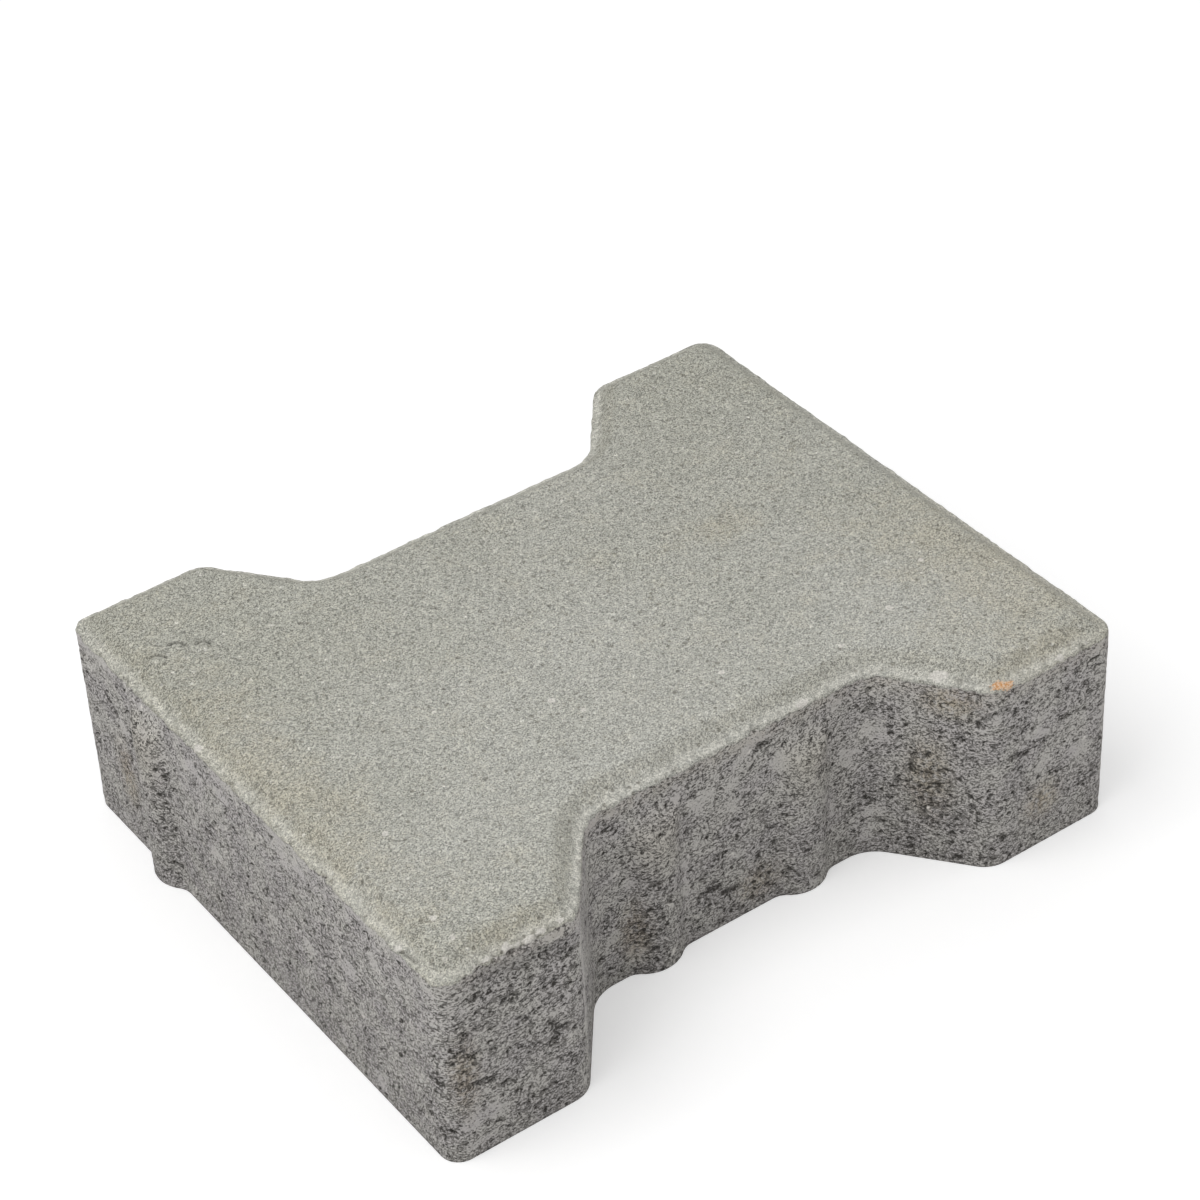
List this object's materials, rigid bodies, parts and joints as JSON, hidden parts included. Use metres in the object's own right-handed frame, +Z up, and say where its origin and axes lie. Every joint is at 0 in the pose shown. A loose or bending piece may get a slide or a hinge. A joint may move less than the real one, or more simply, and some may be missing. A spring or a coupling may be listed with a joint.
{
  "type": "concrete paving stone",
  "caption": "Grey double-T interlocking concrete paving stone with tapered tabs, notched long sides, a bevelled top edge and upright spacer nibs.",
  "frame": {"origin": "middle of the bedding face, on the ground", "axes": "+X along the stone's length, which is the row of stones; +Y across it, from one notched side to the other; +Z up, out of the wearing face"},
  "size_m": [0.2036, 0.162, 0.06],
  "materials": {
    "concrete": "matt sandy grey concrete, pitted on the sides"
  },
  "bodies": {
    "root": {"paving_stone": "concrete"}
  },
  "joints": []
}
